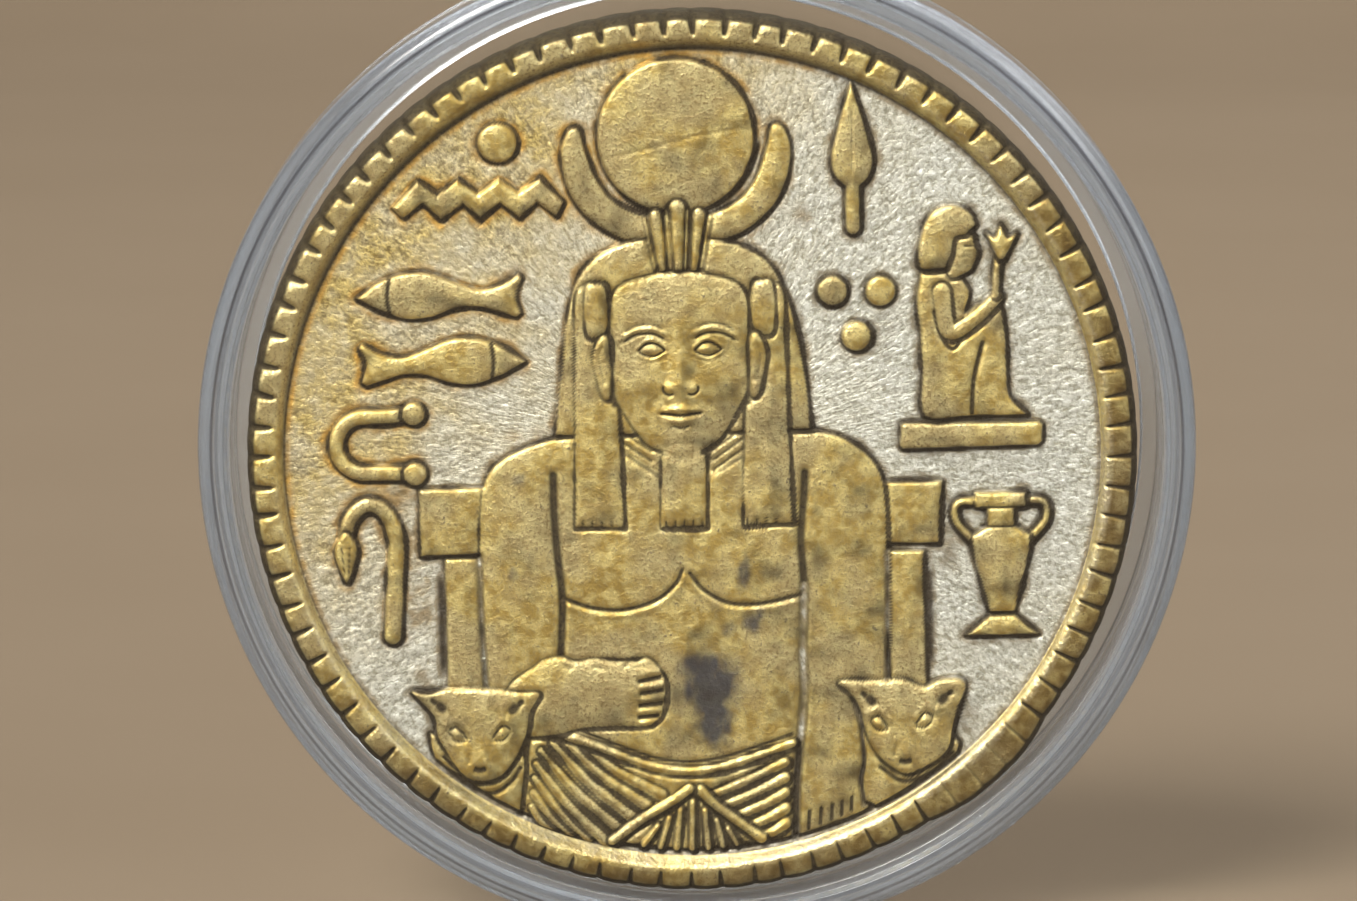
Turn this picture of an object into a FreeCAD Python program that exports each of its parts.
import FreeCAD, Part
import math
import os

# A round clear coin capsule, closed on a struck medal.
# The capsule's axis is Y: the lid is on the -Y side, +X is to the right and +Z is up.
# The origin is the centre of the closed capsule. All dimensions are in millimetres.

# ---- Capsule ----
CAPSULE_R = 21.75          # outside radius of the lid's skirt and of the base's flange
HALF_THICKNESS = 3.15      # from the middle plane to the crest of each raised ring
WINDOW_OUT = 2.85          # outer face of each window
WINDOW_IN = 1.65           # inner face of each window
EDGE_ROUND = 0.25          # moulded corners that a hand touches

WELL_R = 20.35             # inside of the base's wall, round the medal
WALL_R = 20.98             # outside of the base's wall
BEAD_R = 21.03             # crest of the snap bead on that wall
BEAD_Y = -0.70
BEAD_HALF_WIDTH = 0.22
WALL_TOP_Y = -1.50         # the wall's free edge, just short of the lid's window
FLANGE_FRONT_Y = 0.80
FLANGE_BACK_Y = 1.80
FOOT_OUT_R = 20.70         # raised ring behind, which keeps the back window off the table
FOOT_IN_R = 19.75

SKIRT_IN_R = 21.10         # inside of the lid's skirt
GROOVE_R = 21.16           # snap groove in the skirt
GROOVE_HALF_WIDTH = 0.32
SKIRT_END_Y = 0.72         # the skirt stops just short of the flange
RING_IN_R = 20.60          # raised ring round the front window
RING_SLOPE = 0.15
RING_ROUND = 0.70          # its broad outer shoulder

# ---- Medal ----
MEDAL_R = 19.5
MEDAL_X = -0.20            # the medal lies low in the well, against its lower left
MEDAL_Z = -0.45
FIELD_Y = 1.00             # half thickness at the sunken field
CREST_Y = 1.50             # half thickness at the rim's crest
EDGE_Y = 0.85              # half width of the plain edge
FIELD_R = 17.85
CREST_IN_R = 18.25
CREST_OUT_R = 18.60
RELIEF = 0.30              # height of the raised figures above the field
HIGH_RELIEF = 0.42         # height of what stands in front of them
DESIGN_TURN = 1.2          # degrees that the struck design is turned, anticlockwise from the front

NOTCH_COUNT = 88           # radial notches round each side of the rim
NOTCH_WIDTH = 0.36
NOTCH_DEPTH = 0.20

AXIS = FreeCAD.Vector(0, 1, 0)
CENTRE = FreeCAD.Vector(0, 0, 0)


def profile_point(r, y):
    """A point of a turned profile: radius r, at y along the axis."""
    return FreeCAD.Vector(r, y, 0)


def field_point(x, z):
    """A point of the struck design, on the front field."""
    return FreeCAD.Vector(x, -FIELD_Y, z)


def rounded_wire(corners, to_point):
    """Closed wire through (a, b, radius) corners, each rounded by a tangent arc of its radius."""
    count = len(corners)
    points = [to_point(a, b) for a, b, _ in corners]
    arcs = []
    for i in range(count):
        corner, radius = points[i], corners[i][2]
        if radius == 0:
            arcs.append((corner, None, corner))
            continue
        back = (points[i - 1] - corner).normalize()
        ahead = (points[(i + 1) % count] - corner).normalize()
        half_angle = back.getAngle(ahead) / 2
        run = radius / math.tan(half_angle)
        inward = (back + ahead).normalize()
        middle = corner + inward * (radius / math.sin(half_angle) - radius)
        arcs.append((corner + back * run, middle, corner + ahead * run))
    edges = []
    for i in range(count):
        start, middle, end = arcs[i]
        if middle is not None:
            edges.append(Part.Arc(start, middle, end).toShape())
        following = arcs[(i + 1) % count][0]
        if end.distanceToPoint(following) > 1e-6:
            edges.append(Part.LineSegment(end, following).toShape())
    return Part.Wire(edges)


def turned(corners):
    """Solid of revolution about the capsule's axis from (radius, y, rounding) corners."""
    face = Part.Face(rounded_wire(corners, profile_point))
    return face.revolve(CENTRE, AXIS, 360)


def capsule_base():
    """Back window, the wall round the medal with its bead, the flange and the foot ring."""
    return turned([
        (0, WINDOW_IN, 0),
        (WELL_R, WINDOW_IN, 0.15),
        (WELL_R, WALL_TOP_Y, 0.10),
        (WALL_R, WALL_TOP_Y, 0.20),
        (WALL_R, BEAD_Y - BEAD_HALF_WIDTH, 0),
        (BEAD_R, BEAD_Y, 0),
        (WALL_R, BEAD_Y + BEAD_HALF_WIDTH, 0),
        (WALL_R, FLANGE_FRONT_Y, 0),
        (CAPSULE_R, FLANGE_FRONT_Y, 0.15),
        (CAPSULE_R, FLANGE_BACK_Y, EDGE_ROUND),
        (FOOT_OUT_R, FLANGE_BACK_Y, 0.20),
        (FOOT_OUT_R, HALF_THICKNESS, EDGE_ROUND),
        (FOOT_IN_R, HALF_THICKNESS, 0.10),
        (FOOT_IN_R - RING_SLOPE, WINDOW_OUT, 0),
        (0, WINDOW_OUT, 0),
    ])


def capsule_lid():
    """Front window, the skirt with its snap groove and the raised ring round the window."""
    return turned([
        (0, -WINDOW_IN, 0),
        (SKIRT_IN_R, -WINDOW_IN, 0.10),
        (SKIRT_IN_R, BEAD_Y - GROOVE_HALF_WIDTH, 0),
        (GROOVE_R, BEAD_Y, 0),
        (SKIRT_IN_R, BEAD_Y + GROOVE_HALF_WIDTH, 0),
        (SKIRT_IN_R, SKIRT_END_Y, 0.10),
        (CAPSULE_R, SKIRT_END_Y, 0.15),
        (CAPSULE_R, -HALF_THICKNESS, RING_ROUND),
        (RING_IN_R, -HALF_THICKNESS, 0.10),
        (RING_IN_R - RING_SLOPE, -WINDOW_OUT, 0),
        (0, -WINDOW_OUT, 0),
    ])


def medal_blank():
    """The coined blank: two sunken fields inside a raised, bevelled rim."""
    front = [
        (0, -FIELD_Y, 0),
        (FIELD_R, -FIELD_Y, 0.20),
        (CREST_IN_R, -CREST_Y, 0.12),
        (CREST_OUT_R, -CREST_Y, 0.25),
        (MEDAL_R, -EDGE_Y, 0.30),
    ]
    back = [(r, -y, radius) for r, y, radius in reversed(front)]
    return turned(front + back)


def rim_notches():
    """V-shaped tools for the notches across both bevels of the rim."""
    slope = FreeCAD.Vector(MEDAL_R - CREST_OUT_R, CREST_Y - EDGE_Y, 0).normalize()
    outward = FreeCAD.Vector(slope.y, -slope.x, 0)
    start = FreeCAD.Vector(CREST_OUT_R, -CREST_Y, 0) - slope * 0.10
    proud = 0.5
    half_mouth = NOTCH_WIDTH / 2 * (1 + proud)
    mouth = start + outward * (NOTCH_DEPTH * proud)
    corners = [
        start - outward * NOTCH_DEPTH,
        mouth + FreeCAD.Vector(0, 0, half_mouth),
        mouth - FreeCAD.Vector(0, 0, half_mouth),
    ]
    face = Part.Face(Part.makePolygon(corners + corners[:1]))
    front_tool = face.extrude(slope * 1.6)
    back_tool = front_tool.mirror(CENTRE, AXIS)
    tools = []
    for i in range(NOTCH_COUNT):
        for tool in (front_tool, back_tool):
            turned_tool = tool.copy()
            turned_tool.rotate(CENTRE, AXIS, i * 360 / NOTCH_COUNT)
            tools.append(turned_tool)
    return Part.makeCompound(tools)


def raised(corners, height=RELIEF, rounding=0.15):
    """A raised shape with the given (x, z) corners, all rounded alike, sunk a little in the field."""
    wire = rounded_wire([(x, z, rounding) for x, z in corners], field_point)
    return lifted(Part.Face(wire), height)


def lifted(face, height):
    """The solid over a flat face of the design: from just below the field up to the height."""
    sunk = 0.05
    solid = face.extrude(FreeCAD.Vector(0, -(height + sunk), 0))
    solid.translate(FreeCAD.Vector(0, sunk, 0))
    return solid


def disc_face(x, z, radius, squash=1.0):
    """A round face in the design's plane, or an upright oval when squash is under one."""
    if squash == 1.0:
        edge = Part.Circle(field_point(x, z), AXIS, radius).toShape()
    else:
        tall = FreeCAD.Vector(0, 0, 1) * radius
        wide = FreeCAD.Vector(1, 0, 0) * (radius * squash)
        centre = field_point(x, z)
        edge = Part.Ellipse(centre + tall, centre + wide, centre).toShape()
    return Part.Face(Part.Wire([edge]))


def mirrored(corners, axis_x):
    """The same (x, z) outline on the other side of an upright line."""
    return [(2 * axis_x - x, z) for x, z in corners]


def headdress():
    """Sun disc between horns, its ribbed stem, the hair, and the two tresses over the shoulders."""
    horns = disc_face(-0.45, 13.75, 4.85)
    horns = horns.cut(disc_face(-0.45, 14.00, 3.75))
    horns = horns.cut(Part.makeBox(12, 4, 6, FreeCAD.Vector(-6, -3, 14.3)))
    hair = [(-5.3, 1.0), (-4.9, 6.6), (-3.2, 8.6), (-0.5, 9.4), (2.4, 8.8), (4.5, 6.7), (5.1, 1.0)]
    tress = [(-4.9, -3.2), (-4.6, 7.2), (-3.3, 7.6), (-2.9, 4.0), (-3.1, -3.2)]
    stem = [(-1.1, 7.6), (-1.9, 10.7), (1.0, 10.7), (0.2, 7.6)]
    return [
        lifted(disc_face(-0.44, 13.86, 3.35), HIGH_RELIEF),
        lifted(horns, RELIEF),
        raised(hair, rounding=0.4),
        raised(tress, HIGH_RELIEF),
        raised(mirrored(tress, -0.25), HIGH_RELIEF),
        raised(stem, HIGH_RELIEF, 0.1),
    ]


def head():
    """Neck, a plain oval face and the long narrow beard."""
    neck = [(-1.9, -2.2), (-2.1, 2.4), (1.5, 2.4), (1.3, -2.2)]
    beard = [(-1.1, -3.2), (-1.0, 0.6), (0.2, 0.6), (0.3, -3.2)]
    return [
        raised(neck),
        lifted(disc_face(-0.45, 4.0, 4.0, 0.78), HIGH_RELIEF),
        raised(beard, HIGH_RELIEF, 0.1),
    ]


def seated_body():
    """Chest, arms, the forearm across the belly, and the skirt below the belt."""
    torso = [
        (-5.2, 0.9), (-8.9, -0.8), (-9.4, -3.4), (-9.5, -10.2), (-7.6, -13.0), (-7.4, -15.6),
        (-4.0, -17.3), (4.0, -17.3), (8.0, -15.4), (8.4, -10.2), (8.4, -3.2), (7.8, -0.6), (5.1, 0.9),
    ]
    forearm = [(-7.6, -9.2), (-2.0, -9.0), (-1.2, -9.8), (-1.4, -11.8), (-2.4, -12.2), (-7.6, -12.0)]
    belt = [(-7.8, -12.5), (-1.0, -14.2), (4.5, -12.8), (4.5, -13.4), (-1.0, -14.8), (-7.8, -13.1)]
    return [
        raised(torso, rounding=0.5),
        raised(forearm, HIGH_RELIEF, 0.35),
        raised(belt, HIGH_RELIEF, 0.1),
    ]


def throne():
    """The two posts of the seat, with a big cat's head in front of each."""
    block = [(-11.9, -1.4), (-9.0, -1.4), (-9.0, -4.2), (-11.9, -4.2)]
    post = [(-10.9, -4.0), (-9.2, -4.0), (-9.2, -11.0), (-10.9, -11.0)]
    cat = [
        (-12.2, -10.5), (-10.6, -10.8), (-8.6, -10.7), (-7.0, -10.5), (-7.6, -12.6),
        (-9.0, -14.3), (-9.9, -14.3), (-11.2, -12.8),
    ]
    middle = -0.45
    parts = []
    for shape, height in ((block, RELIEF), (post, RELIEF), (cat, HIGH_RELIEF)):
        parts.append(raised(shape, height))
        parts.append(raised(mirrored(shape, middle), height))
    return parts


def fish(x, z, facing):
    """One fish, nose first: a long oval body and a notched tail."""
    outline = [
        (-3.6, 0.0), (-2.2, 0.9), (0.5, 1.0), (2.4, 0.4), (3.6, 1.0),
        (3.2, 0.0), (3.6, -1.0), (2.4, -0.4), (0.5, -1.0), (-2.2, -0.9),
    ]
    return raised([(x + facing * dx, z + dz) for dx, dz in outline])


def water_sign(x, z, peaks=4, pitch=1.7, height=1.4, thickness=0.8):
    """A zigzag band: its upper edge left to right, then its lower edge back."""
    upper = []
    for i in range(2 * peaks + 1):
        upper.append((x + i * pitch / 2, z + (height / 2 if i % 2 else -height / 2)))
    lower = [(px, pz - thickness) for px, pz in reversed(upper)]
    return raised(upper + lower, rounding=0.05)


def ornaments():
    """The small pictures in the field: water and a disc, fish, pellets, a torc, a flower stem,
    a spearhead, a seated figure on a plinth and a vase."""
    torc = [
        (-11.9, 2.1), (-14.7, 1.9), (-16.0, 0.6), (-14.7, -0.8), (-11.9, -0.9),
        (-11.9, -0.2), (-14.3, -0.1), (-15.1, 0.6), (-14.3, 1.3), (-11.9, 1.4),
    ]
    stem = [
        (-13.4, -7.9), (-13.5, -3.2), (-14.2, -2.5), (-14.9, -3.2), (-15.1, -5.0), (-15.8, -4.8),
        (-15.5, -2.8), (-14.3, -1.7), (-13.0, -2.6), (-12.8, -7.9),
    ]
    leaf = [(7.2, 16.0), (6.3, 12.6), (7.0, 11.4), (7.0, 9.6), (7.6, 9.6), (7.6, 11.4), (8.2, 12.6)]
    sitter = [
        (9.9, 1.5), (9.9, 6.6), (10.4, 8.6), (11.4, 10.2), (12.6, 9.4), (12.3, 7.4),
        (13.6, 6.4), (13.9, 2.4), (14.8, 1.5),
    ]
    plinth = [(9.2, 0.4), (9.2, 1.3), (15.3, 1.3), (15.3, 0.4)]
    vase = [
        (12.3, -2.0), (14.3, -2.0), (13.8, -3.0), (14.6, -4.2), (13.6, -7.2), (14.6, -8.3),
        (12.0, -8.3), (13.0, -7.2), (12.0, -4.2), (12.8, -3.0),
    ]
    parts = [raised(shape, rounding=0.1) for shape in (torc, stem, leaf, sitter, vase)]
    parts.append(raised(plinth, HIGH_RELIEF, 0.1))
    parts.append(water_sign(-12.7, 12.0))
    parts.append(fish(-10.8, 7.1, 1))
    parts.append(fish(-10.8, 4.2, -1))
    for x, z, radius in ((-8.18, 13.74, 0.9), (6.25, 6.99, 0.66), (8.31, 6.95, 0.66), (7.26, 4.98, 0.66)):
        parts.append(lifted(disc_face(x, z, radius), RELIEF))
    return parts


def back_ornament(rays=24):
    """The back: a plain disc with rays round it, turned to face the other way."""
    parts = [lifted(disc_face(0, 0, 5.0), HIGH_RELIEF)]
    ray = raised([(-0.55, 6.2), (-0.12, 14.5), (0.12, 14.5), (0.55, 6.2)], rounding=0.05)
    for i in range(rays):
        turned_ray = ray.copy()
        turned_ray.rotate(CENTRE, AXIS, i * 360 / rays)
        parts.append(turned_ray)
    design = Part.makeCompound(parts)
    return design.mirror(CENTRE, AXIS)


def medal():
    """The struck medal, with its design turned a little, lying low in the well."""
    front = Part.makeCompound(headdress() + head() + seated_body() + throne() + ornaments())
    front.rotate(CENTRE, AXIS, -DESIGN_TURN)
    figures = front.Solids + back_ornament().Solids
    body = medal_blank().cut(rim_notches()).fuse(figures).removeSplitter()
    body.translate(FreeCAD.Vector(MEDAL_X, 0, MEDAL_Z))
    return body


def single_solid(name, shape):
    """The one solid of a node, checked before it is written."""
    solids = shape.Solids
    if len(solids) != 1 or not solids[0].isValid():
        raise ValueError(f"{name}: expected one valid solid, got {len(solids)}")
    return solids[0]


os.makedirs("parts", exist_ok=True)
for node, build in (("capsule_base", capsule_base), ("capsule_lid", capsule_lid), ("medal", medal)):
    solid = single_solid(node, build())
    solid.exportStep(f"parts/{node}.step")
    box = solid.optimalBoundingBox(False)
    print(f"{node}: {solid.Volume:.1f} mm3, {len(solid.Faces)} faces,"
          f" x {box.XMin:.2f}..{box.XMax:.2f}, y {box.YMin:.2f}..{box.YMax:.2f}, z {box.ZMin:.2f}..{box.ZMax:.2f}")
